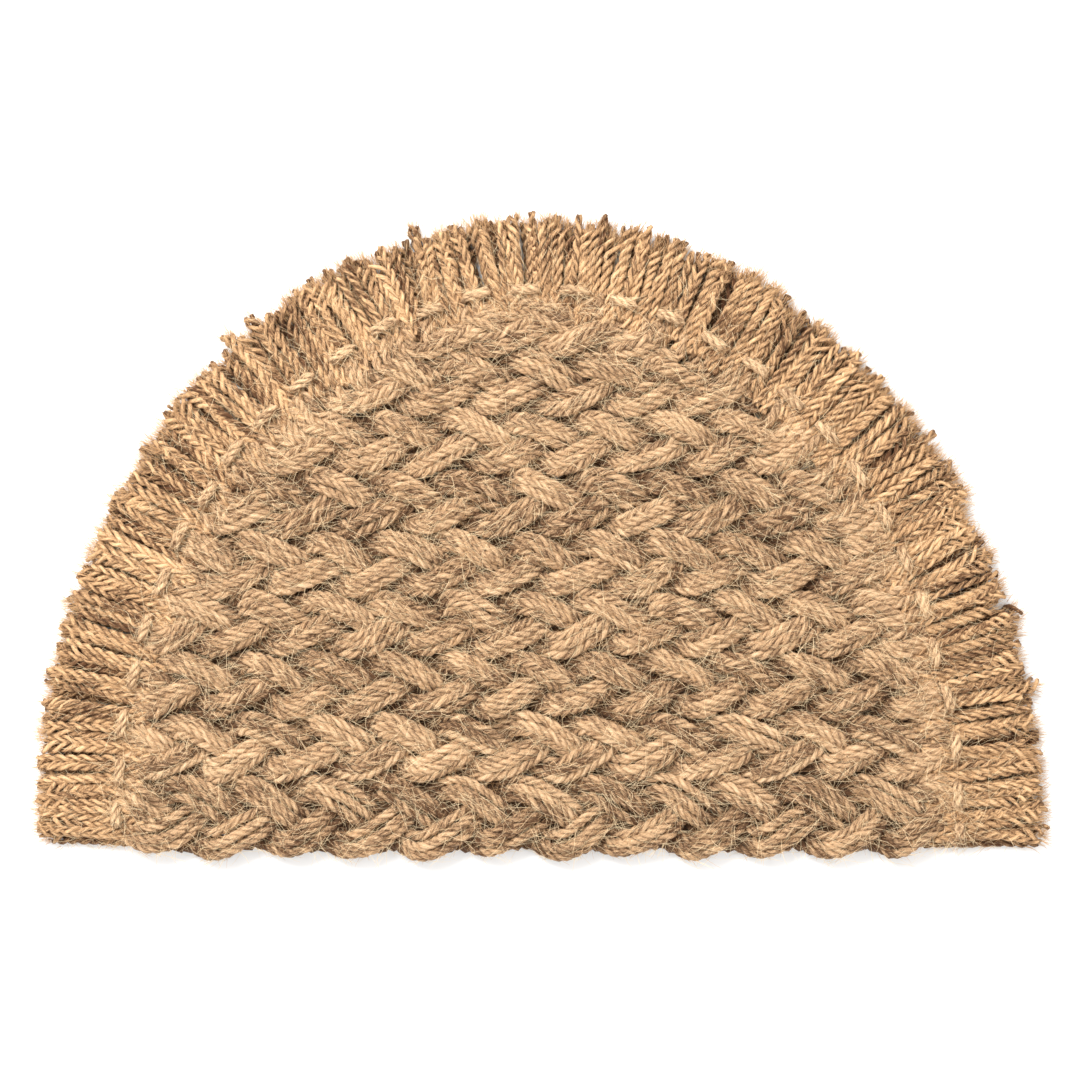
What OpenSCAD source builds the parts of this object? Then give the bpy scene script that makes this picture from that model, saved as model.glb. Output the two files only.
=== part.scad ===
// Half-moon door mat of plaited jute rope.
// Three-strand plaits lie side by side. Cut rope ends, in two layers, make a fringe round the curved
// edge, and one running stitch of cord binds them. Thin cords along the underside seam the plaits.
// The origin is the middle of the mat's bounding box, on the floor. +X runs along the straight edge,
// +Y points from the straight edge to the crown of the curve, and +Z is up.

/* [Mat] */
// Overall width along the straight edge
mat_w = 700; // [650:5:750]
// Overall depth from the straight edge to the crown
mat_d = 444; // [420:2:470]
// Thickness of the plaited field
mat_t = 22; // [20:0.5:26]
// Straight stretch of each side before the curve begins
side_h = 26; // [20:1:40]

/* [Plaits] */
// Number of plaits from the straight edge to the crown
plait_count = 9; // [9:1:10]
// Length along a plait in which one strand goes over and under once
braid_pitch = 143; // [120:1:170]
// Gap between neighbouring plaits
plait_gap = 0.3; // [0.2:0.1:1]
// Part of a plait's width that is left where its ends are cut
end_squeeze = 0.45; // [0.4:0.05:0.6]

/* [Fringe] */
// Fringe length at the sides
fringe_side = 60; // [50:1:70]
// Fringe length at the crown
fringe_top = 52.5; // [45:0.5:60]
// Diameter of a fringe rope
rope_d = 6.5; // [5.5:0.1:6.6]
// Pairs of ropes in each layer of half the fringe
pair_count = 32; // [30:1:32]
// How far the lower ropes are tucked in under the plait ends
tuck = 15; // [8:1:16]

/* [Cords] */
// Width of the binding cord across the fringe ropes
binding_w = 5.5; // [3:0.5:6]
// Thickness of the binding cord
binding_t = 2.2; // [1.6:0.1:2.4]
// Diameter of a seam cord
seam_d = 2.2; // [1.6:0.1:2.4]

/* [Hidden] */
$fn = 32;
eps = 0.1;
jute = [0.74, 0.59, 0.41];
jute_light = [0.80, 0.66, 0.48];
jute_dark = [0.62, 0.47, 0.31];

// The plaited field inside the fringe, with y counted from the straight edge
field_hw = mat_w / 2 - fringe_side;
field_top = mat_d - fringe_top;
field_rise = field_top - side_h;
field_r = (field_hw + field_rise) / 2;
plait_pitch = field_top / plait_count;

// A strand's section and its way through the plait
sides = 8;
steps_per_pitch = 12;
step = braid_pitch / steps_per_pitch;
reach = (plait_pitch - plait_gap) / 2;
strand_hw = 0.29 * reach;
sway = reach - strand_hw;
lump = sin(60);
swell = sway * (1 - lump) / lump;
strand_hh = 0.2 * mat_t;
edge_hh = 0.036 * mat_t;
dive = (mat_t / 2 - strand_hh - edge_hh * (1 - lump)) / lump;

// The fringe ropes' heights, and how far the plait ends rise to lie on the lower ropes
rope_r = rope_d / 2;
rope_pitch = rope_d + 0.5;
lower_in_z = binding_t + 1.1 + rope_r;
lower_run = fringe_side + tuck;
slope = (lower_in_z - rope_r) / lower_run;
upper_start = 1;
upper_short = 3;
layer_h = rope_d + eps;
lift = lower_in_z + rope_r + 0.2;
lift_flat = tuck + 4;
lift_ramp = 24;

// The binding cord's line, just outside the plait ends
binding_out = 0.5 + upper_start + binding_w;
binding_z = lower_in_z + layer_h - slope * tuck + rope_r + binding_t / 2 + eps;
binding_sides = 6;

// The fringe root line is walked by its length: one row for each degree of the quarter ellipse
function root_on_curve(t) = [field_hw * cos(t), side_h + field_rise * sin(t)];
arc_table = [
    for (t = 0, run = 0; t <= 90; run = run + norm(root_on_curve(t + 1) - root_on_curve(t)), t = t + 1)
        [run, t]
];
half_run = side_h + arc_table[90][0];
pair_pitch = half_run / pair_count;

ZONES = ["side", "shoulder", "crown"];
HANDS = ["right", "left"];
LAYERS = ["lower", "upper"];
STRANDS = ["a", "b", "c"];

function strand_name(k, s) = str("plait_", k, "_strand_", STRANDS[s]);
function seam_name(k) = str("seam_cord_", k, "_", k + 1);
function fringe_name(layer, hand, zone) = str("fringe_", layer, "_", hand, "_", zone);

function limit(v, low, high) = max(low, min(high, v));
function unit(v) = v / norm(v);

// Plaits

function field_y(x) = side_h + field_rise * sqrt(max(0, 1 - pow(x / field_hw, 2)));

// Distance from a point in the field to the fringe root line, nearly
function inset(x, y) = field_r * (1 - norm([x / field_hw, max(0, y - side_h) / field_rise]));

function rise(x, y) = lift * limit((lift_flat + lift_ramp - inset(x, y)) / lift_ramp, 0, 1);

function plait_half_length(k) =
    field_hw * sqrt(1 - pow(max(0, (k - 1 + end_squeeze) * plait_pitch - side_h) / field_rise, 2));

// A plait's ends are squeezed towards the straight edge, so that they follow the curve
function squeeze(x, k) = limit(field_y(x) / plait_pitch - (k - 1), end_squeeze, 1);

function stations(half) = let (inner = floor(half / step - 0.25))
    [-half, for (i = [-inner:inner]) i * step, half];

function strand_ring(x, k, s) =
    let (
        turn = 360 * x / braid_pitch + 120 * s,
        wave = limit(sin(2 * turn), -lump, lump),
        half_w = strand_hw + swell * abs(wave),
        half_h = strand_hh + edge_hh * (1 - abs(wave)),
        mid_y = plait_pitch / 2 + limit(sway * sin(turn), half_w - reach, reach - half_w),
        mid_z = mat_t / 2 - dive * wave
    )
    [
        for (i = [0:sides - 1])
            let (
                around = (i + 0.5) * 360 / sides,
                full_y = mid_y + half_w * cos(around) / cos(180 / sides),
                full_z = mid_z + half_h * sin(around) / cos(180 / sides),
                y = (k - 1) * plait_pitch + full_y * squeeze(x, k),
                floor_z = rise(x, y)
            )
            [x, y, floor_z + full_z * (mat_t - floor_z) / mat_t]
    ];

// A closed tube through rings of n points that turn from +Y to +Z as the tube runs towards +X
module skin(rings, n) {
    last = len(rings) - 1;
    polyhedron(
        points = [for (ring = rings) for (p = ring) p],
        faces = [
            [for (j = [0:n - 1]) j],
            for (i = [0:last - 1]) for (j = [0:n - 1])
                [i * n + j, (i + 1) * n + j, (i + 1) * n + (j + 1) % n, i * n + (j + 1) % n],
            [for (j = [n - 1:-1:0]) last * n + j]
        ],
        convexity = 6
    );
}

module strand(k, s) {
    color(s == 1 ? jute_light : jute)
        on_floor() skin([for (x = stations(plait_half_length(k))) strand_ring(x, k, s)], sides);
}

// Moves what is drawn from the straight edge into the mat's own frame
module on_floor() {
    translate([0, -mat_d / 2, 0]) children();
}

// Seam cords, in the grooves under the plaits

module seam_cord(k) {
    clear = tuck + 5;
    half = (field_hw - clear) * sqrt(1 - pow((k * plait_pitch - side_h) / (field_rise - clear), 2));
    color(jute_dark)
        on_floor() rod([-half, k * plait_pitch, seam_d / 2 + eps], [half, k * plait_pitch, seam_d / 2 + eps], seam_d);
}

module rod(from, to, d) {
    way = to - from;
    translate(from)
        rotate([0, acos(way.z / norm(way)), atan2(way.y, way.x)])
            cylinder(d = d, h = norm(way));
}

// Fringe. A place along the root line is its distance from the corner, measured on one half

function root(run) = run < side_h ? [field_hw, run] : root_on_curve(lookup(run - side_h, arc_table));

function tip(run) =
    let (t = lookup(run - side_h, arc_table))
    run < side_h ? [mat_w / 2, run] : [mat_w / 2 * cos(t), side_h + (mat_d - side_h) * sin(t)];

function outward(run) = unit(tip(run) - root(run));

function zone_of(pair) = ZONES[floor(pair * len(ZONES) / pair_count)];

module fringe_rope(run, layer) {
    upper = layer == "upper";
    from_out = upper ? upper_start : -tuck;
    from_xy = root(run) + outward(run) * from_out;
    to_xy = tip(run) - outward(run) * (upper ? upper_short : 0);
    from_z = lower_in_z - slope * (from_out + tuck) + (upper ? layer_h : 0);
    to_z = rope_r + (upper ? layer_h : 0);
    rod([from_xy.x, from_xy.y, from_z], [to_xy.x, to_xy.y, to_z], rope_d);
}

module fringe(layer, hand, zone) {
    color(layer == "upper" ? jute_light : jute_dark)
        mirror([hand == "left" ? 1 : 0, 0, 0])
            on_floor()
                for (pair = [0:pair_count - 1])
                    if (zone_of(pair) == zone)
                        for (side = [-1, 1])
                            fringe_rope((pair + 0.5) * pair_pitch + side * rope_pitch / 2, layer);
}

// Binding cord: over one pair of fringe ropes and under the next, from corner to corner

function mirrored(p, left) = [left ? -p.x : p.x, p.y];

function binding_way(run) =
    let (left = run > half_run, own = left ? 2 * half_run - run : run)
    mirrored(outward(own), left);

function binding_point(run, z) =
    let (left = run > half_run, own = left ? 2 * half_run - run : run)
    let (p = mirrored(root(own) + outward(own) * binding_out, left))
    [p.x, p.y, z];

module binding_cord() {
    low_z = binding_t / 2 + eps / 2;
    last = 2 * pair_count - 1;
    stops = [
        for (i = [0:last])
            let (z = i % 2 == 0 ? binding_z : low_z)
            each [[max(i, 0.5) * pair_pitch, z], [min(i + 1, last + 0.5) * pair_pitch, z]]
    ];
    path = [for (stop = stops) binding_point(stop[0], stop[1])];
    across = [for (stop = stops) let (w = binding_way(stop[0])) [w.x, w.y, 0]];
    ways = [for (i = [0:len(path) - 2]) unit(path[i + 1] - path[i])];
    rings = [
        for (i = [0:len(path) - 1])
            let (
                before = unit(cross(across[i], ways[max(i - 1, 0)])),
                after = unit(cross(across[i], ways[min(i, len(ways) - 1)])),
                mitre = (before + after) / (1 + before * after)
            )
            [
                for (j = [0:binding_sides - 1])
                    let (around = (j + 0.5) * 360 / binding_sides)
                    path[i] + across[i] * cos(around) * binding_w / 2 / cos(180 / binding_sides)
                        + mitre * sin(around) * binding_t / 2
            ]
    ];
    color(jute_light)
        on_floor() skin(rings, binding_sides);
}

for (k = [1:plait_count]) for (s = [0:2])
    strand(k, s);
for (k = [1:plait_count - 1])
    seam_cord(k);
for (layer = LAYERS) for (hand = HANDS) for (zone = ZONES)
    fringe(layer, hand, zone);
binding_cord();
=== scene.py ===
"""Looks of the half-moon door mat: twisted jute ropes plaited in threes, a cut fringe and its binding cord.

Lengths are metres. The mat lies on the floor at z = 0, its straight edge along X and its crown towards +Y.
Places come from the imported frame: the plaits' boxes, the seam cords between them and the whole mat's box.
"""

import math

import bpy
import numpy as np
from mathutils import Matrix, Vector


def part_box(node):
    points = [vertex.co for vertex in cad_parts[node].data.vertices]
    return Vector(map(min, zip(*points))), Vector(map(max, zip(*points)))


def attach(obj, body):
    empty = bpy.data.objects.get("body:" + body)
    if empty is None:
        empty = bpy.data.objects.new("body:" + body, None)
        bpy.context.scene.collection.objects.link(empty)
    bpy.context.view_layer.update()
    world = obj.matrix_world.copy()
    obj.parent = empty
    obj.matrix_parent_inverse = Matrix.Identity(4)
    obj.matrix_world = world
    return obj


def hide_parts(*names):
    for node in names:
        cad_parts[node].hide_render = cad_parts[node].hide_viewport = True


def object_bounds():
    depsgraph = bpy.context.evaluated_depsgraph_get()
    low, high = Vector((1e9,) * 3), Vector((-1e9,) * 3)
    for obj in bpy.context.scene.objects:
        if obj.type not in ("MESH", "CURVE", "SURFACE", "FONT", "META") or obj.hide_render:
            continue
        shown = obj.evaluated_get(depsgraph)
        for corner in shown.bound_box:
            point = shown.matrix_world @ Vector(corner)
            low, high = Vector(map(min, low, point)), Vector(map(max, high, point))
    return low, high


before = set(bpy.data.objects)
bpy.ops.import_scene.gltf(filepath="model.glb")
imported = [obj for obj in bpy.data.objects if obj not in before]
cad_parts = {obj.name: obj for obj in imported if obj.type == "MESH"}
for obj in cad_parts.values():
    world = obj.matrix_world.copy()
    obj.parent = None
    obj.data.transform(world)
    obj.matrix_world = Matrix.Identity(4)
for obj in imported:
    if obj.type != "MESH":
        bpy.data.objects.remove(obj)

CAD_LOW, CAD_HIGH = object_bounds()

MM = 0.001
TURN = 2 * math.pi
STRANDS = "abc"
ZONES = ("side", "shoulder", "crown")
HANDS = {"right": 1, "left": -1}
PLAIT_COUNT = sum(name.endswith("strand_a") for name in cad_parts)

# The mat's outline, from the frame. STRAIGHT_Y is the straight edge and SIDE_Y the top of the straight sides
HALF_W = CAD_HIGH.x
MAT_T = CAD_HIGH.z
STRAIGHT_Y = CAD_LOW.y
CROWN_Y = CAD_HIGH.y
SIDE_H = 26 * MM
SIDE_Y = STRAIGHT_Y + SIDE_H
FIELD_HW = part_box("plait_1_strand_a")[1].x
PLAIT_PITCH = (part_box("seam_cord_2_3")[0].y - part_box("seam_cord_1_2")[0].y)
FIELD_RISE = PLAIT_COUNT * PLAIT_PITCH - SIDE_H

# Plaits. A strand is a bundle of ropes: three that show and three behind them. The ropes behind only fill
# the plait's body: they stay low, and pass through each other where strands cross
BRAID_PITCH = 143 * MM
ROPE_R = 3.7 * MM
ROPE_LAY = 20 * MM
STEP = 2.1 * MM
COVER_ROPES = (-1, 0, 1)
CORE_ROPES = (-1.5, 0, 1.5)
CORE_R = 4.4 * MM
CORE_Z = 5.2 * MM
ROPE_GAP = 5.7 * MM

# A strand's way through its plait: sideways, up and down, the turn at which it lies highest, and how
# much higher the middle one of its ropes lies
SWAY = 15.7 * MM
DIVE = MAT_T / 2 - ROPE_R
HIGHEST_AT = math.radians(128)
CROWN = 1.8 * MM

# The first plait is wider than the rest by nearly EDGE_WIDER, which the plaits above it take up little by
# little towards the crown. Its two ends draw in from the straight edge by CORNER_IN, and
# FIRST_ROW_SQUEEZE is the part of its ropes' sway that is left on that side
EDGE_WIDER = 12 * MM
CORNER_IN = 9 * MM
FIRST_ROW_SQUEEZE = 0.96

# Plait ends: how far inside the fringe root they turn outward, how far their ropes are drawn past the
# CAD plait's end before that turn cuts them, the part of their width that is left, how high the tucked
# fringe lifts them, and how far their tops sink
TURN_OUT = 26 * MM
OVERRUN = 32 * MM
END_SQUEEZE = 0.85
END_LIFT = 9 * MM
END_SINK = 5 * MM

# Fringe
PAIRS = 32
TUCK = 15 * MM
FRINGE_R = 3.7 * MM
YARN_R = 2.8 * MM

# How far each layer is shifted along the root, in pairs of ropes, and the few ropes that stick out
LAYER_SHIFT = 0.1125
STRAY_CHANCE = 0.02
STRAY_EXTRA = 8 * MM

# Heights of the fringe layers at the root and at the tip
LOWER_Z = (6.6 * MM, 3.8 * MM)
UPPER_Z = (14.5 * MM, 10.0 * MM)

# A ply's section, the turn of the fibres in it, its share of a rope's radius, and the run of a cut end
# over which the plies part
PLY_SIDES = 6
FIBRE_LAY = 24 * MM
PLY_SHARE = 0.52
FRAY_RUN = 26 * MM


# Small maths

def limit(value, low, high):
    return np.minimum(np.maximum(value, low), high)


def smooth(value):
    """0 below 0, 1 above 1, and a smooth step between."""
    t = limit(value, 0, 1)
    return t * t * (3 - 2 * t)


def unit(vectors):
    return vectors / np.maximum(np.linalg.norm(vectors, axis=-1, keepdims=True), 1e-12)


def drift(x, y, seed, shortest=50 * MM, longest=140 * MM):
    """Slow random waves over the mat, about -1 to 1."""
    rng = np.random.default_rng(seed)
    total = 0
    for _ in range(6):
        way = rng.uniform(0, TURN)
        wave = rng.uniform(shortest, longest)
        total = total + np.sin(TURN * (x * math.cos(way) + y * math.sin(way)) / wave + rng.uniform(0, TURN))
    return total / 3


# Meshes of many ropes

class Bundle:
    """Collects ropes, then makes one mesh of them with what its material needs at each point.

    tone is one number for each ply, crown is 0 where plies touch and 1 on the rope's outside,
    and fibre is a place in a space where the fibres run along one axis."""

    def __init__(self):
        self.points = []
        self.quads = []
        self.caps = []
        self.crown = []
        self.tone = []
        self.fibre = []
        self.count = 0
        self.lines = []

    def rope(self, path, radius, rng, plies=3, lay=ROPE_LAY, tone=0.0, fray=0.0, fuzzy=True):
        """A rope of twisted plies along path. fray is how far the plies part at its last end."""
        path = np.asarray(path, float)
        radius = np.broadcast_to(radius, len(path))
        tangent, side, lift = frames(path)
        run = run_along(path)
        hand = rng.choice([-1, 1], p=[0.35, 0.65])
        first = rng.uniform(0, TURN)
        end = smooth(1 - (run[-1] - run) / FRAY_RUN) if fray else 0 * run
        centre_r = radius * (PLY_SHARE + fray * end)
        for ply in range(plies):
            angle = first + TURN * (hand * run / lay + ply / plies)
            out = np.cos(angle)[:, None] * side + np.sin(angle)[:, None] * lift
            slub = (1 + 0.15 * waves(run, rng, 6 * MM, 30 * MM)) * (1 - 0.3 * fray * end)
            middle = path + out * (centre_r + 0.05 * radius * waves(run, rng, 6 * MM, 20 * MM))[:, None]
            middle[:, 2] = np.maximum(middle[:, 2], 0.62 * radius)
            cut = len(path) - rng.integers(0, 3) if fray else len(path)
            shade = tone + rng.normal(0, 0.6) + 0.8 * waves(run, rng, 40 * MM, 160 * MM)
            self._ply(middle[:cut], PLY_SHARE * (radius * slub)[:cut], out[:cut], rng, shade[:cut])
        if fuzzy:
            self.lines.append((path, radius, tangent))

    def _ply(self, middle, radius, out, rng, tone):
        """One ply: a tube about middle. out points away from the rope's own middle."""
        _, side, lift = frames(middle)
        angle = TURN * np.arange(PLY_SIDES) / PLY_SIDES
        normal = np.cos(angle)[:, None] * side[:, None] + np.sin(angle)[:, None] * lift[:, None]
        ring = middle[:, None] + normal * radius[:, None, None]
        crown = 0.5 + 0.5 * np.einsum("ijk,ik->ij", normal, out)
        run = run_along(middle)
        turned = angle[None, :] + TURN * run[:, None] / FIBRE_LAY
        fibre = np.stack([np.cos(turned) * radius[:, None], np.sin(turned) * radius[:, None],
                          np.broadcast_to(run[:, None], turned.shape)], axis=-1) + rng.uniform(-1, 1, 3)
        rings = len(middle)
        index = self.count + np.arange(rings * PLY_SIDES).reshape(rings, PLY_SIDES)
        here, there = index[:-1], index[1:]
        quads = np.stack([here, np.roll(here, -1, 1), np.roll(there, -1, 1), there], axis=-1)
        self.quads.append(quads.reshape(-1, 4))
        self.caps.append(np.stack([index[0, ::-1], index[-1]]))
        self.points.append(ring.reshape(-1, 3))
        self.crown.append(crown.ravel())
        self.fibre.append(fibre.reshape(-1, 3))
        self.tone.append(np.repeat(tone, PLY_SIDES))
        self.count += rings * PLY_SIDES

    def piece(self, name, material):
        """The mesh object of all ropes so far."""
        points = np.concatenate(self.points)
        mesh = mesh_of(name, points, np.concatenate(self.quads), np.concatenate(self.caps))
        for key, values in (("crown", self.crown), ("tone", self.tone)):
            mesh.attributes.new(key, "FLOAT", "POINT").data.foreach_set(
                "value", np.concatenate(values).astype(np.float32))
        mesh.attributes.new("fibre", "FLOAT_VECTOR", "POINT").data.foreach_set(
            "vector", np.concatenate(self.fibre).astype(np.float32).ravel())
        mesh.materials.append(material)
        return link(name, mesh)


def frames(path):
    """The path's tangent, its level side and the lift across both, at each point."""
    tangent = unit(np.gradient(path, axis=0))
    side = unit(np.cross([0.0, 0.0, 1.0], tangent))
    return tangent, side, np.cross(tangent, side)


def run_along(path):
    return np.concatenate([[0], np.cumsum(np.linalg.norm(np.diff(path, axis=0), axis=1))])


def waves(run, rng, shortest, longest):
    """Random waves along a rope, about -1 to 1."""
    total = 0
    for _ in range(4):
        total = total + np.sin(TURN * run / rng.uniform(shortest, longest) + rng.uniform(0, TURN))
    return total / 2.2


def mesh_of(name, points, *face_groups):
    """A smooth-shaded mesh from points and arrays of faces, each array with its own number of corners."""
    mesh = bpy.data.meshes.new(name)
    corners = np.concatenate([faces.ravel() for faces in face_groups]).astype(np.int32)
    sizes = np.concatenate([np.full(len(faces), faces.shape[1]) for faces in face_groups]).astype(np.int32)
    starts = np.concatenate([[0], np.cumsum(sizes)[:-1]]).astype(np.int32)
    mesh.vertices.add(len(points))
    mesh.vertices.foreach_set("co", points.astype(np.float32).ravel())
    mesh.loops.add(len(corners))
    mesh.loops.foreach_set("vertex_index", corners)
    mesh.polygons.add(len(sizes))
    mesh.polygons.foreach_set("loop_start", starts)
    mesh.polygons.foreach_set("loop_total", sizes)
    mesh.polygons.foreach_set("use_smooth", np.ones(len(sizes), bool))
    mesh.update(calc_edges=True)
    mesh.validate()
    return mesh


def link(name, data):
    piece = bpy.data.objects.new(name, data)
    bpy.context.scene.collection.objects.link(piece)
    return piece


def place(piece, slot, *nodes):
    """Rides the piece on the mat and lets it stand for these CAD nodes."""
    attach(piece, "root")
    if nodes:
        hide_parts(*nodes)
    return piece


# Materials

class Graph:
    """A material's nodes, with short ways to add to them."""

    def __init__(self, name):
        self.material = bpy.data.materials.new(name)
        self.material.use_nodes = True
        self.tree = self.material.node_tree
        self.shader = self.tree.nodes["Principled BSDF"]

    def node(self, kind, **settings):
        made = self.tree.nodes.new(kind)
        for key, value in settings.items():
            setattr(made, key, value)
        return made

    def join(self, output, socket):
        self.tree.links.new(output, socket)

    def attribute(self, key):
        return self.node("ShaderNodeAttribute", attribute_name=key)

    def maths(self, operation, first, second):
        made = self.node("ShaderNodeMath", operation=operation)
        for socket, value in zip(made.inputs, (first, second)):
            if isinstance(value, (int, float)):
                socket.default_value = value
            else:
                self.join(value, socket)
        return made.outputs[0]

    def noise(self, vector, scale, detail):
        made = self.node("ShaderNodeTexNoise")
        made.inputs["Scale"].default_value = scale
        made.inputs["Detail"].default_value = detail
        self.join(vector, made.inputs["Vector"])
        return made.outputs["Fac"]


# How much each part adds to a point's place on the colour ramp. The crown part paints shade into the grooves
# between plies, and the depth part paints shade lower down in the mat
FINE_SHARE = 1.3
BROAD_SHARE = 0.7
GROOVE_SHADE_SHARE = 0.22
TONE_SHARE = 0.09
PATCH_SHARE = 0.45
DEPTH_SHADE_SHARE = 0.46
RAMP_START = 1.61
RAMP_MIDDLE = 0.42


def jute_material(name, dark, mid, light, low=0.3 * MAT_T, high=0.8 * MAT_T):
    """Twisted jute: streaks along the fibres, painted shade in the grooves between plies and lower down in
    the mat, and ropes of differing tone.
    It is darkest at the height low, where the painted shade of depth is deepest, and has no painted shade of
    depth from the height high upwards."""
    graph = Graph(name)
    fine, broad = jute_streaks(graph)
    jute_colour(graph, jute_value(graph, fine, broad, low, high), dark, mid, light)
    jute_surface(graph, fine, broad)
    return graph.material


def jute_streaks(graph):
    """Fine and broad noise, drawn out along the fibres."""
    stretch = graph.node("ShaderNodeVectorMath", operation="MULTIPLY")
    graph.join(graph.attribute("fibre").outputs["Vector"], stretch.inputs[0])
    stretch.inputs[1].default_value = (1.0, 1.0, 0.16)
    return graph.noise(stretch.outputs[0], 1900.0, 4.0), graph.noise(stretch.outputs[0], 620.0, 2.0)


def jute_value(graph, fine, broad, low, high):
    """A point's place on the colour ramp."""
    place_of = graph.node("ShaderNodeNewGeometry").outputs["Position"]
    patch = graph.noise(place_of, 38.0, 3.0)
    # Painted shade: crown is 0 in the grooves where plies touch, and darkens the colour there
    crown = graph.attribute("crown").outputs["Fac"]
    tone = graph.attribute("tone").outputs["Fac"]
    split = graph.node("ShaderNodeSeparateXYZ")
    graph.join(place_of, split.inputs[0])
    # Painted shade: the colour darkens lower down in the mat, between and under the ropes, most at the
    # height low and below
    depth_shade = graph.node("ShaderNodeMapRange")
    graph.join(split.outputs["Z"], depth_shade.inputs["Value"])
    depth_shade.inputs["From Min"].default_value = low
    depth_shade.inputs["From Max"].default_value = high
    value = graph.maths("MULTIPLY", fine, FINE_SHARE)
    shares = ((broad, BROAD_SHARE), (crown, GROOVE_SHADE_SHARE), (tone, TONE_SHARE), (patch, PATCH_SHARE),
              (depth_shade.outputs[0], DEPTH_SHADE_SHARE))
    for part, share in shares:
        value = graph.maths("ADD", value, graph.maths("MULTIPLY", part, share))
    return graph.maths("SUBTRACT", value, RAMP_START)


def jute_colour(graph, value, dark, mid, light):
    ramp = graph.node("ShaderNodeValToRGB")
    graph.join(value, ramp.inputs[0])
    stops = ramp.color_ramp.elements
    stops[0].position, stops[0].color = 0.0, (*dark, 1)
    stops[1].position, stops[1].color = 1.0, (*light, 1)
    middle = stops.new(RAMP_MIDDLE)
    middle.color = (*mid, 1)
    graph.join(ramp.outputs[0], graph.shader.inputs["Base Color"])


def jute_surface(graph, fine, broad):
    """A dull, slightly downy surface with the fibres' relief."""
    shader = graph.shader
    shader.inputs["Sheen Weight"].default_value = 0.1
    shader.inputs["Sheen Roughness"].default_value = 0.6
    shader.inputs["Sheen Tint"].default_value = (1.0, 0.85, 0.65, 1)
    shader.inputs["Specular IOR Level"].default_value = 0.25
    bump = graph.node("ShaderNodeBump")
    bump.inputs["Strength"].default_value = 0.9
    bump.inputs["Distance"].default_value = 0.5 * MM
    graph.join(graph.maths("ADD", fine, broad), bump.inputs["Height"])
    graph.join(bump.outputs[0], shader.inputs["Normal"])
    rough = graph.maths("ADD", graph.maths("MULTIPLY", fine, 0.25), 0.7)
    graph.join(rough, shader.inputs["Roughness"])


def fibre_material(name, colour):
    """Single loose fibres: too thin to show a pattern, so of one plain colour."""
    material = bpy.data.materials.new(name)
    material.use_nodes = True
    shader = material.node_tree.nodes["Principled BSDF"]
    shader.inputs["Base Color"].default_value = (*colour, 1)
    shader.inputs["Roughness"].default_value = 0.8
    shader.inputs["Specular IOR Level"].default_value = 0.2
    return material


def linear(red, green, blue):
    """A colour given as 0-255 values on a screen, as linear light."""
    return tuple(((c / 255 + 0.055) / 1.055) ** 2.4 for c in (red, green, blue))


# Each ramp's dark colour shows in dark fibre streaks and in the painted shade of grooves and low places
ROPE = jute_material("plaited_jute", linear(78, 50, 28), linear(194, 158, 120), linear(234, 208, 172))
FRINGE = jute_material("fringe_jute", linear(82, 50, 26), linear(202, 161, 117), linear(240, 212, 170),
                       0.08 * MAT_T, 0.66 * MAT_T)
TWINE = jute_material("binding_jute", linear(96, 64, 38), linear(208, 172, 132), linear(242, 214, 178))
FIBRES = {
    "pale": fibre_material("fibre_pale", linear(244, 218, 176)),
    "tan": fibre_material("fibre_tan", linear(206, 166, 122)),
}


# Plaits

def field_y(x):
    """The curve's height above the straight edge at x, at the fringe root."""
    return SIDE_H + FIELD_RISE * np.sqrt(limit(1 - (x / FIELD_HW) ** 2, 0, 1))


def inset(x, y):
    """Distance from a point in the field to the fringe root, nearly. y counts from the straight edge."""
    radius = (FIELD_HW + FIELD_RISE) / 2
    return radius * (1 - np.hypot(x / FIELD_HW, limit(y - SIDE_H, 0, 1) / FIELD_RISE))


def plait_half_length(k):
    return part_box(f"plait_{k}_strand_a")[1].x


def plait_rope_path(k, s, bias, cover, half):
    """One rope's way through plait k: its place in strand s is bias, and cover says if it shows."""
    far = half + OVERRUN
    x = np.linspace(-far, far, round((2.2 if cover else 1.2) * far / STEP))
    turn = TURN * (x / BRAID_PITCH + s / 3)
    raised = np.tanh(1.2 * (np.cos(2 * (turn - HIGHEST_AT)) + 0.4))
    weave = SWAY * zigzag(turn)
    slope = np.gradient(weave, x)
    beside = bias * ROPE_GAP * (1 + 0.12 * drift(x, 0 * x, 100 * k + s)) * (0.88 + 0.12 * raised)
    along, across = -slope / np.hypot(1, slope), 1 / np.hypot(1, slope)
    if cover:
        y = weave + beside * across
        z = MAT_T / 2 + DIVE * raised + CROWN * (1 - 1.7 * abs(bias)) * raised
    else:
        y = limit(weave + beside * across, CORE_R - PLAIT_PITCH / 2, PLAIT_PITCH / 2 - 0.3 * CORE_R)
        z = CORE_Z + 1.5 * MM * raised
    if k == 1:
        y = np.maximum(y, FIRST_ROW_SQUEEZE * y)
    return turn_out(settle(x + beside * along, y + (k - 0.5) * PLAIT_PITCH, z, k), half)


def zigzag(turn, sharp=0.9):
    """A wave between -1 and 1 with nearly straight flanks."""
    return np.arcsin(sharp * np.sin(turn)) / math.asin(sharp)


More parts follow.
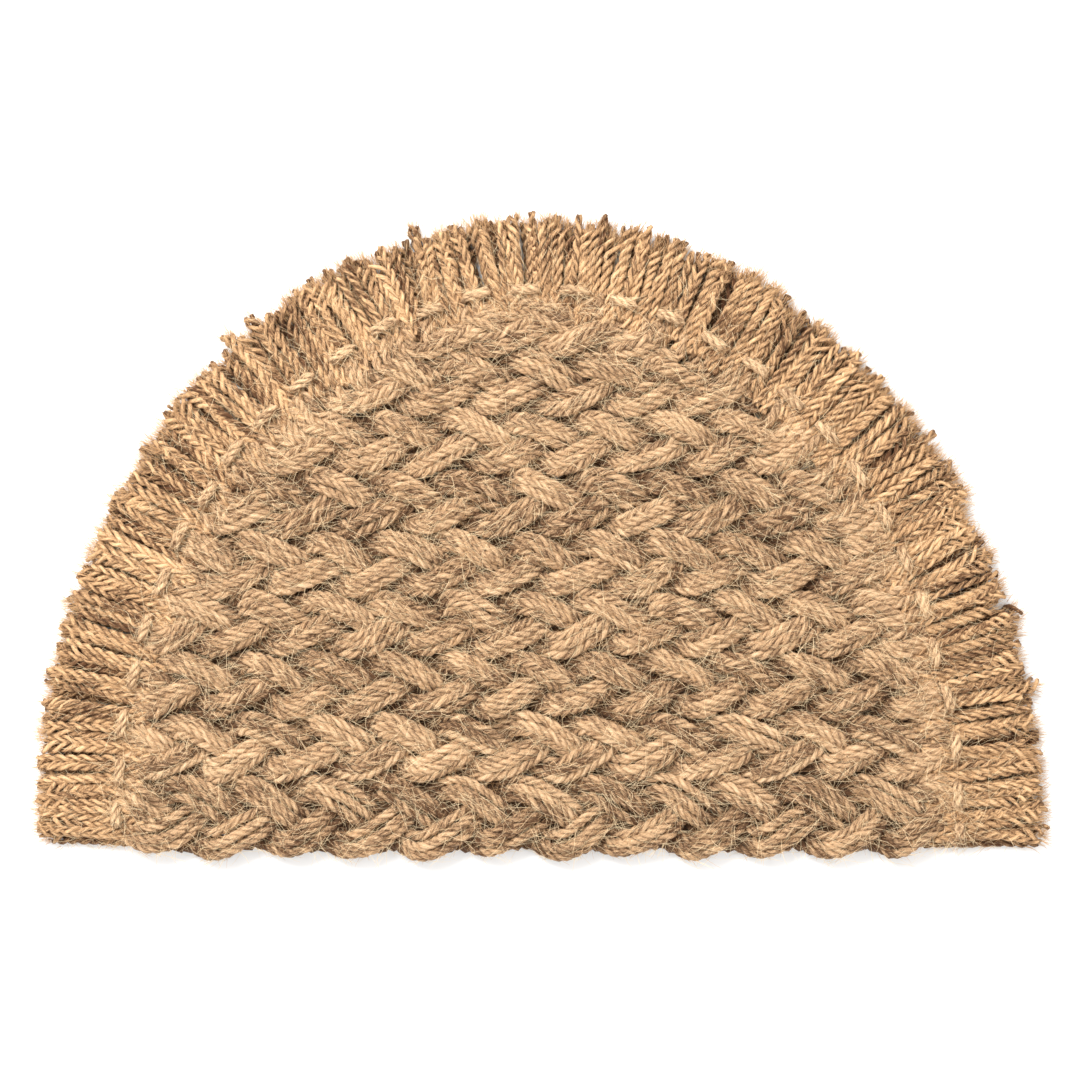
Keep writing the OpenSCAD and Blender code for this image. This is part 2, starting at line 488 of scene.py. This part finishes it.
def turn_out(path, half):
    """Bends both ends of a rope out towards the fringe, across the curve."""
    for end in (1, -1):
        flat = path[:, :2] - [0, STRAIGHT_Y]
        normal = unit(np.stack([flat[:, 0] / FIELD_HW ** 2,
                                limit(flat[:, 1] - SIDE_H, 0, 1) / FIELD_RISE ** 2], axis=-1))
        room = inset(flat[:, 0], flat[:, 1]) - TURN_OUT * np.abs(normal[:, 0]) * np.abs(normal[:, 1]) * 2
        beyond = (room < 0) & (end * flat[:, 0] > 0.4 * half)
        if not beyond.any():
            continue
        at = np.argmax(beyond) if end > 0 else len(path) - 1 - np.argmax(beyond[::-1])
        if not 6 < at < len(path) - 7:
            continue
        kept = path[:at + 1] if end > 0 else path[at:][::-1]
        start, way = kept[-1], unit(kept[-1] - kept[-4])
        out = np.array([*normal[at], 0.0])
        reach = max(inset(*flat[at]) - 2 * MM, 6 * MM)
        goal = start + out * reach
        goal[2] = limit(start[2] - 1 * MM, 12 * MM, 16 * MM)
        t = np.linspace(0, 1, max(4, round(1.1 * reach / STEP)) + 1)[1:, None]
        bend = ((2 * t ** 3 - 3 * t ** 2 + 1) * start + (t ** 3 - 2 * t ** 2 + t) * way * reach
                + (3 * t ** 2 - 2 * t ** 3) * goal + (t ** 3 - t ** 2) * out * reach)
        path = np.concatenate([kept, bend])
        path = path if end > 0 else path[::-1]
    return path


def settle(x, y, z, k):
    """Squeezes a plait's ends to follow the curve, lifts them on to the fringe, and lets them wander."""
    full = y - (k - 1) * PLAIT_PITCH
    squeeze = limit(field_y(x) / PLAIT_PITCH - (k - 1), END_SQUEEZE, 1)
    y = (k - 1) * PLAIT_PITCH + full * squeeze
    top = PLAIT_COUNT * PLAIT_PITCH
    y = y + EDGE_WIDER * smooth(y / PLAIT_PITCH) * (1 - limit(y / top, 0, 1) ** 2)
    corner = smooth((np.abs(x) / FIELD_HW - 0.84) / 0.14) * smooth(1 - y / PLAIT_PITCH)
    y = y + CORNER_IN * corner
    floor_z = END_LIFT * limit((TUCK + 28 * MM - inset(x, y)) / (24 * MM), 0, 1)
    top_z = MAT_T - END_SINK * smooth(1 - inset(x, y) / (22 * MM))
    z = floor_z + z * (top_z - floor_z) / MAT_T
    x_new = x + 2.0 * MM * drift(x, y, 11)
    y_new = y + 1.6 * MM * drift(x, y, 12)
    z_new = z + 0.7 * MM * drift(x, y, 13)
    return np.stack([x_new, y_new + STRAIGHT_Y, z_new], axis=-1)


def make_strand(k, s, rng):
    bundle = Bundle()
    half = plait_half_length(k)
    for cover, biases in ((1, COVER_ROPES), (0, CORE_ROPES)):
        for bias in biases:
            path = plait_rope_path(k, s, bias + rng.normal(0, 0.07), cover, half - rng.uniform(0, 3) * MM)
            seeds = [rng.integers(1e6) for _ in range(3)]
            wander = 0.35 * MM * np.stack(
                [drift(path[:, 0], path[:, 1], seed, 20 * MM, 50 * MM) for seed in seeds], axis=-1)
            radius = (ROPE_R if cover else CORE_R) * rng.uniform(0.94, 1.06)
            bundle.rope(path + wander, radius, rng, 3 if cover else 2, ROPE_LAY * rng.uniform(0.9, 1.1),
                        tone=rng.normal(0, 0.5), fuzzy=bool(cover))
    name = f"plait_{k}_strand_{STRANDS[s]}"
    place(bundle.piece(f"{name}_ropes", ROPE), "jute_rope", name)
    return bundle


# Fringe. A place along the root line is its distance from the corner, measured on one half

ARC_STEPS = np.radians(np.linspace(0, 90, 361))
ROOT_CURVE = np.stack([FIELD_HW * np.cos(ARC_STEPS), SIDE_H + FIELD_RISE * np.sin(ARC_STEPS)], axis=-1)
ARC_RUN = np.concatenate([[0], np.cumsum(np.linalg.norm(np.diff(ROOT_CURVE, axis=0), axis=1))])
HALF_RUN = SIDE_H + ARC_RUN[-1]
PAIR_PITCH = HALF_RUN / PAIRS


def root_and_tip(run):
    """The fringe root's point at this distance from the right corner, and the outline's point beyond it."""
    if run < SIDE_H:
        return np.array([FIELD_HW, run]), np.array([HALF_W, run])
    t = np.interp(run - SIDE_H, ARC_RUN, ARC_STEPS)
    here = np.array([FIELD_HW * math.cos(t), SIDE_H + FIELD_RISE * math.sin(t)])
    tip = np.array([HALF_W * math.cos(t), SIDE_H + (CROWN_Y - SIDE_Y) * math.sin(t)])
    return here, tip


def root(run):
    """The fringe root's point at this distance from the right corner, and the way outward there."""
    here, tip = root_and_tip(run)
    return here, unit(tip - here)


def corner_room(run):
    """How far the fringe and its binding draw in from the mat's corner."""
    return 7 * MM * smooth(1 - run / (60 * MM))


def tip_distance(run):
    """How far the mat's outline lies outside the root line."""
    here, tip = root_and_tip(run)
    return float(np.linalg.norm(tip - here))


def fringe_path(run, hand, layer, rng, loose=1.7 * MM):
    """A fringe rope from under the plait ends out to the mat's outline. A layer is lower or upper."""
    here, out = root(run)
    along = np.array([-out[1], out[0]])
    upper = layer == "upper"
    start = (rng.uniform(-20, -10) if upper else rng.uniform(-24, -14)) * MM
    length = tip_distance(run) - start + limit(rng.normal(-1.5, 3.2), -8, 6) * MM
    if rng.random() < STRAY_CHANCE:
        length += STRAY_EXTRA
    t = np.linspace(0, 1, max(8, round(length / STEP)))
    sweep = 5 * MM * drift(run, hand * run, 41) + rng.normal(0, loose)
    bow = rng.normal(0, 1.3) * MM
    across = sweep * t ** 1.5 + bow * np.sin(math.pi * t)
    flat = here + out * (start + length * t)[:, None] + along * across[:, None]
    low, high = UPPER_Z if upper else LOWER_Z
    z = low + (high - low) * t
    z = z + rng.normal(0, 0.8) * MM * np.sin(math.pi * t)
    z = z + rng.normal(0, 1.0) * MM * t ** 2
    z = np.maximum(z, FRINGE_R * 1.1)
    return np.stack([hand * flat[:, 0], flat[:, 1] + STRAIGHT_Y, z], axis=-1)


def make_fringe(hand_name, layer, zone, rng):
    bundle = Bundle()
    shift = LAYER_SHIFT if layer == "upper" else -LAYER_SHIFT
    for pair in range(PAIRS):
        if ZONES[pair * len(ZONES) // PAIRS] != zone:
            continue
        for side in (-1, 1):
            run = (pair + 0.5 + side * 0.25 + shift + rng.normal(0, 0.05)) * PAIR_PITCH
            run = min(run + corner_room(run), HALF_RUN)
            path = fringe_path(run, HANDS[hand_name], layer, rng)
            radius = FRINGE_R * rng.uniform(0.9, 1.08)
            bundle.rope(path, radius, rng, lay=ROPE_LAY * rng.uniform(0.8, 1.3), tone=rng.normal(0, 0.8),
                        fray=rng.uniform(0.3, 1.1))
            yarn = fringe_path(min(run + 0.25 * PAIR_PITCH, HALF_RUN), HANDS[hand_name], layer, rng, 5 * MM)
            yarn[:, 2] += (2.5 * MM if layer == "upper" else 0)
            bundle.rope(yarn, YARN_R, rng, plies=2, lay=17 * MM, tone=rng.normal(0, 0.6), fuzzy=False)
    name = f"fringe_{layer}_{hand_name}_{zone}"
    place(bundle.piece(f"{name}_ropes", FRINGE), "jute_fringe", name)
    return bundle


# Cords

def make_binding(rng):
    """The running stitch: over one pair of fringe ropes, under the next, from corner to corner."""
    out_by = 3 * MM
    thick = 3.5 * MM
    over, under = UPPER_Z[0] + FRINGE_R + thick, 1.2 * thick
    count = round(2 * HALF_RUN / (1.5 * MM))
    way = np.linspace(0.4 * PAIR_PITCH, 2 * HALF_RUN - 0.4 * PAIR_PITCH, count)
    stitch = np.sin(math.pi * way / PAIR_PITCH)
    height = smooth(0.5 + 1.6 * stitch)
    points = []
    for run, share in zip(way, height):
        left = run > HALF_RUN
        own = 2 * HALF_RUN - run if left else run
        here, out = root(own + corner_room(own))
        flat = here + out * (out_by + 1.5 * MM * drift(run, 0, 31))
        points.append((-flat[0] if left else flat[0], flat[1] + STRAIGHT_Y, under + (over - under) * share))
    bundle = Bundle()
    bundle.rope(points, thick, rng, lay=19 * MM)
    place(bundle.piece("binding_cord_twine", TWINE), "jute_twine", "binding_cord")
    return bundle


def make_seam(k, rng):
    name = f"seam_cord_{k}_{k + 1}"
    low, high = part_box(name)
    r = (high.z - low.z) / 2
    x = np.arange(low.x, high.x, 1.2 * MM)
    zigzag = 0.5 * MM * np.sin(TURN * x / (14 * MM))
    path = np.stack([x, (low.y + high.y) / 2 + zigzag, np.full(len(x), r * 1.05)], axis=-1)
    bundle = Bundle()
    bundle.rope(path, r, rng, plies=2, lay=6 * MM, tone=0.5)
    place(bundle.piece(f"{name}_twine", TWINE), "jute_twine", name)


# Loose fibres

def make_fuzz(name, bundles, slot, rng, tone, per_metre, typical, thick, lift, points=5):
    """Thin curved fibres that stand out of the ropes. lift is how steeply they leave the rope, at most."""
    starts, ways = [], []
    for path, radius, tangent in (line for bundle in bundles for line in bundle.lines):
        count = rng.poisson(per_metre * run_along(path)[-1])
        chance = 0.2 + smooth(path[1:-1, 2] / MAT_T)
        at = 1 + rng.choice(len(path) - 2, count, p=chance / chance.sum())
        swing, turned = rng.uniform(0, TURN, count), rng.normal(0, 0.7, count)
        side = unit(np.cross([0.0, 0.0, 1.0], tangent[at]))
        out = np.cos(swing)[:, None] * side + np.sin(swing)[:, None] * np.cross(tangent[at], side)
        across = np.cross(tangent[at], out)
        level = np.cos(turned)[:, None] * tangent[at] + np.sin(turned)[:, None] * across
        starts.append(path[at] + out * radius[at][:, None] * 0.95)
        either = rng.choice([-1, 1], (count, 1))
        ways.append(unit(level * either + out * lift * rng.uniform(0.05, 1, (count, 1))))
    start, way = np.concatenate(starts), np.concatenate(ways)
    count = len(start)
    length = limit(rng.lognormal(math.log(typical), 0.45, count), 3 * MM, 30 * MM)
    bend = unit(rng.normal(0, 1, (count, 3))) * rng.uniform(0.1, 1.0, (count, 1))
    curl = unit(rng.normal(0, 1, (count, 3))) * rng.uniform(0, 1, (count, 1))
    t = np.linspace(0, 1, points)[None, :, None]
    shape = way[:, None] * t + 0.5 * bend[:, None] * t ** 2 + 0.08 * curl[:, None] * np.sin(TURN * t)
    path = hold_in(start[:, None] + shape * length[:, None, None])
    piece = hair_piece(f"{name}_fuzz_{tone}", path, thick * rng.uniform(0.75, 1.25, count), FIBRES[tone])
    return place(piece, slot)


def hold_in(path):
    """Eases fibres back that would reach far outside the mat's box."""
    for axis, low, high in ((0, -HALF_W, HALF_W), (1, STRAIGHT_Y, CROWN_Y), (2, None, MAT_T)):
        room = (8 if axis == 2 else 14) * MM
        value = path[..., axis]
        over = np.maximum(value - high, 0)
        value = value - over + room * np.tanh(over / room)
        if low is not None:
            under = np.maximum(low - value, 0)
            value = value + under - room * np.tanh(under / room)
        path[..., axis] = value
    path[..., 2] = np.maximum(path[..., 2], 0.3 * MM)
    return path


def make_tufts(name, bundles, slot, rng, per_end=44):
    """The cut ends' brushes of short stiff fibres."""
    starts, ways = [], []
    for path, radius, tangent in (line for bundle in bundles for line in bundle.lines):
        spread = rng.normal(0, 1, (per_end, 3))
        starts.append(path[-4] + 0.75 * radius[-1] * spread)
        ways.append(unit(tangent[-1] + 0.2 * spread + 0.15 * rng.normal(0, 1, (per_end, 3))))
    start, way = np.concatenate(starts), np.concatenate(ways)
    count = len(start)
    length = rng.uniform(5, 13, count) * MM
    bend = rng.normal(0, 0.2, (count, 3))
    t = np.linspace(0, 1, 4)[None, :, None]
    path = hold_in(start[:, None] + (way[:, None] * t + bend[:, None] * t ** 2) * length[:, None, None])
    return place(hair_piece(f"{name}_tufts", path, rng.uniform(0.16, 0.3, count) * MM, FIBRES["tan"]), slot)


def hair_piece(name, path, radius, material):
    """Three-sided tubes along many short paths, one row of path each."""
    tangent = unit(np.gradient(path, axis=1))
    side = unit(np.cross(tangent, [0.31, 0.17, 0.93]))
    lift = np.cross(tangent, side)
    angle = TURN * np.arange(3) / 3
    thin = np.linspace(1, 0.35, path.shape[1])
    size = (radius[:, None] * thin)[..., None, None]
    ring = path[:, :, None] + size * (np.cos(angle)[:, None] * side[:, :, None]
                                      + np.sin(angle)[:, None] * lift[:, :, None])
    hairs, rings = path.shape[:2]
    index = np.arange(hairs * rings * 3).reshape(hairs, rings, 3)
    here, there = index[:, :-1], index[:, 1:]
    quads = np.stack([here, np.roll(here, -1, 2), np.roll(there, -1, 2), there], axis=-1).reshape(-1, 4)
    ends = np.concatenate([index[:, 0, ::-1], index[:, -1]])
    mesh = mesh_of(name, ring.reshape(-1, 3), quads, ends)
    mesh.materials.append(material)
    return link(name, mesh)


# Stage

def make_floor():
    size = 6.0
    points = np.array([(-size, -size, 0), (size, -size, 0), (size, size, 0), (-size, size, 0)], float)
    mesh = mesh_of("floor", points, np.array([[0, 1, 2, 3]]))
    material = bpy.data.materials.new("floor_white")
    material.use_nodes = True
    shader = material.node_tree.nodes["Principled BSDF"]
    shader.inputs["Base Color"].default_value = (0.93, 0.93, 0.93, 1)
    shader.inputs["Roughness"].default_value = 0.9
    mesh.materials.append(material)
    link("floor", mesh)


def make_camera():
    """Straight down from well above, so that the whole square view is 0.753 m wide at the ropes' height."""
    height = 1.7
    view_w = 0.753
    data = bpy.data.cameras.new("camera")
    data.sensor_width = 36
    data.lens = 36 * (height - MAT_T * 0.7) / view_w
    camera = link("camera", data)
    camera.location = (1.4 * MM, -1.0 * MM, height)
    bpy.context.scene.camera = camera


def make_light():
    world = bpy.data.worlds.new("studio")
    bpy.context.scene.world = world
    world.use_nodes = True
    sky = world.node_tree.nodes["Background"]
    sky.inputs["Color"].default_value = (1.0, 0.99, 0.975, 1)
    sky.inputs["Strength"].default_value = 1.3
    data = bpy.data.lights.new("key", "AREA")
    data.shape = "DISK"
    data.size = 1.2
    data.energy = 75
    key = link("key", data)
    key.location = (-0.9, 1.3, 1.9)
    aim = -key.location.normalized()
    key.rotation_euler = aim.to_track_quat("-Z", "Y").to_euler()
    bpy.context.scene.view_settings.view_transform = "Standard"


def build():
    rng = np.random.default_rng(20)
    make_floor()
    make_camera()
    make_light()
    for k in range(1, PLAIT_COUNT + 1):
        strands = [make_strand(k, s, rng) for s in range(3)]
        make_fuzz(f"plait_{k}", strands, "jute_rope", rng, "pale", 620, 13 * MM, 0.13 * MM, 0.8)
        make_fuzz(f"plait_{k}", strands, "jute_rope", rng, "tan", 1000, 5 * MM, 0.14 * MM, 0.45, points=4)
    for k in range(1, PLAIT_COUNT):
        make_seam(k, rng)
    for hand in HANDS:
        for zone in ZONES:
            layers = [make_fringe(hand, layer, zone, rng) for layer in ("lower", "upper")]
            name = f"fringe_{hand}_{zone}"
            make_fuzz(name, layers, "jute_fringe", rng, "pale", 600, 11 * MM, 0.13 * MM, 0.7)
            make_fuzz(name, layers, "jute_fringe", rng, "tan", 1100, 5 * MM, 0.14 * MM, 0.45, points=4)
            make_tufts(name, layers, "jute_fringe", rng)
    binding = make_binding(rng)
    make_fuzz("binding_cord", [binding], "jute_twine", rng, "pale", 900, 8 * MM, 0.13 * MM, 0.7)


build()
